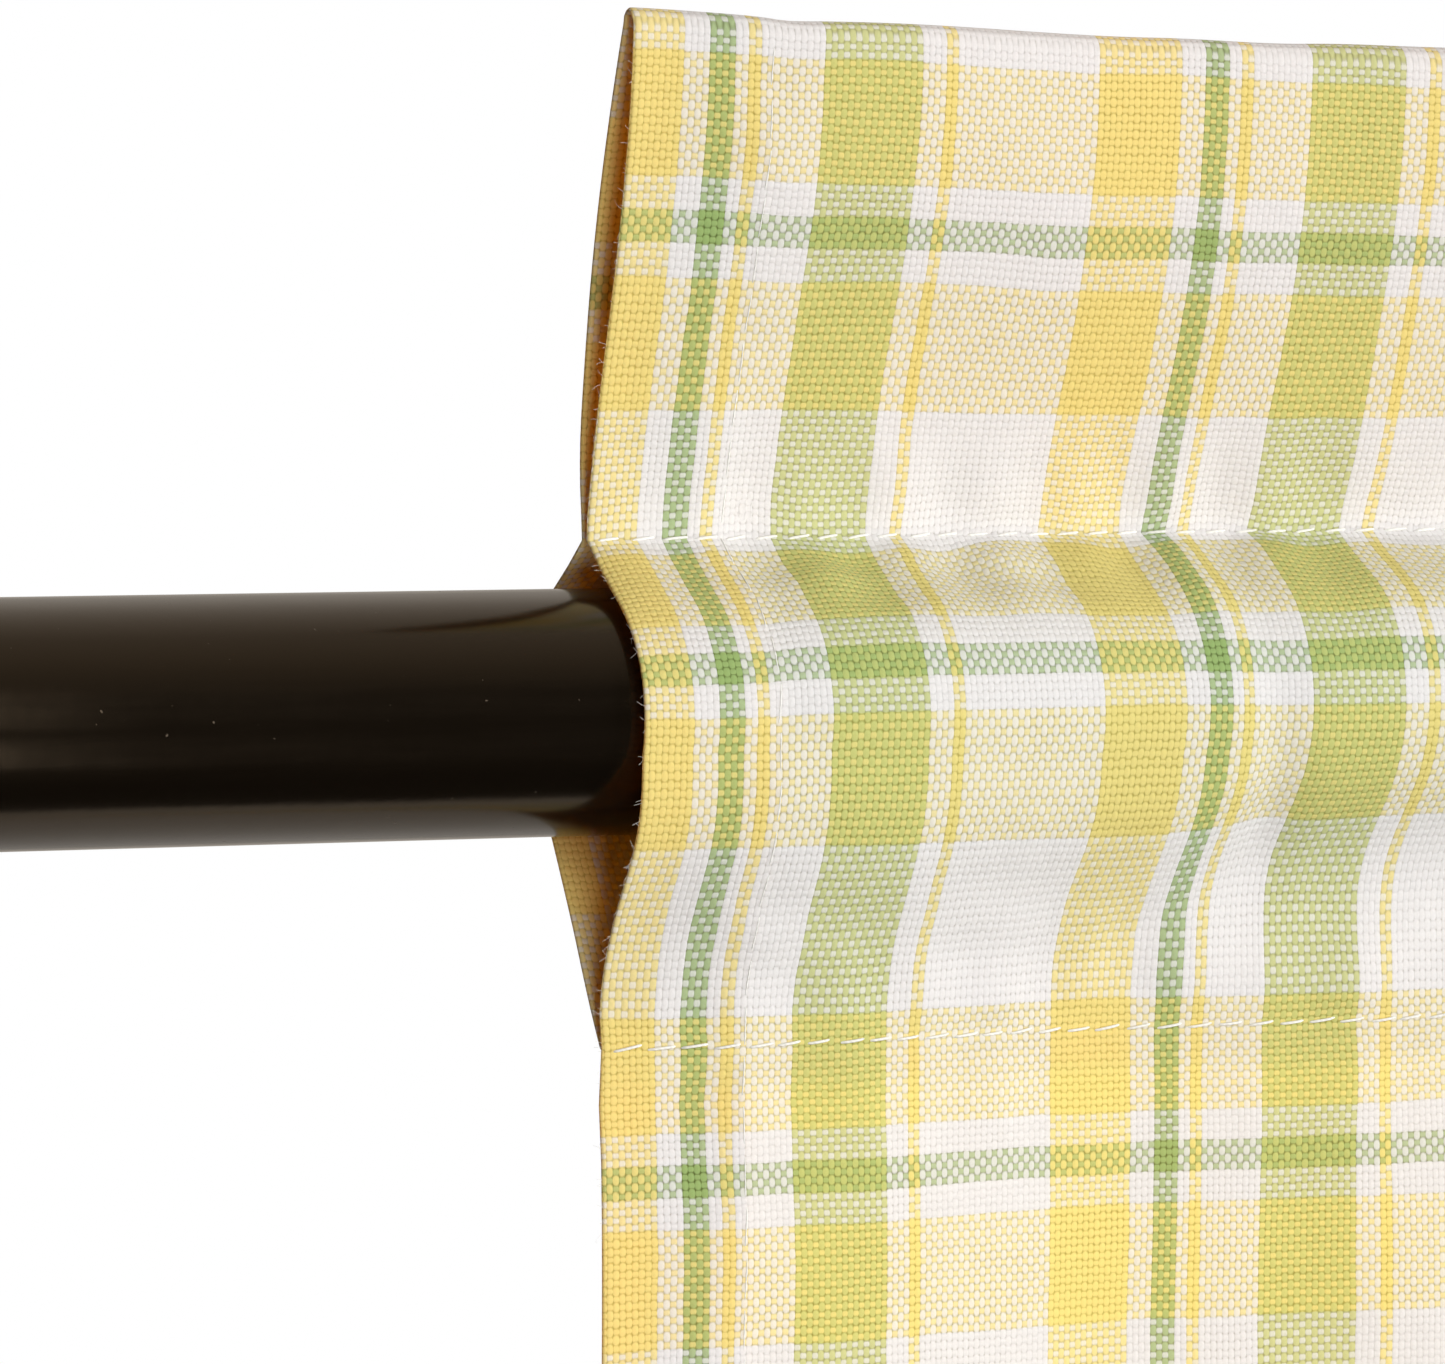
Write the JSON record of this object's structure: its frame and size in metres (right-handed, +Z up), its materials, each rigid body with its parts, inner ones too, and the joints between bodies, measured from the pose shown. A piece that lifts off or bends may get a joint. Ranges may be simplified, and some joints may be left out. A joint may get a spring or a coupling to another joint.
{
  "type": "window valance on curtain rod",
  "caption": "Short plaid cotton window valance with a standing header over a rod pocket, hanging almost flat in soft folds on a plain round black rod.",
  "frame": {"origin": "on the rod's axis, halfway along the rod", "axes": "+X along the rod to the right as seen from the front, -Y out of the front of the valance, +Z up"},
  "size_m": [2, 0.0313, 0.4469],
  "materials": {
    "cotton": "matt plain-weave cotton plaid",
    "black_gloss": "gloss"
  },
  "bodies": {
    "root": {"valance_cloth": "cotton", "rod": "black_gloss"}
  },
  "joints": []
}
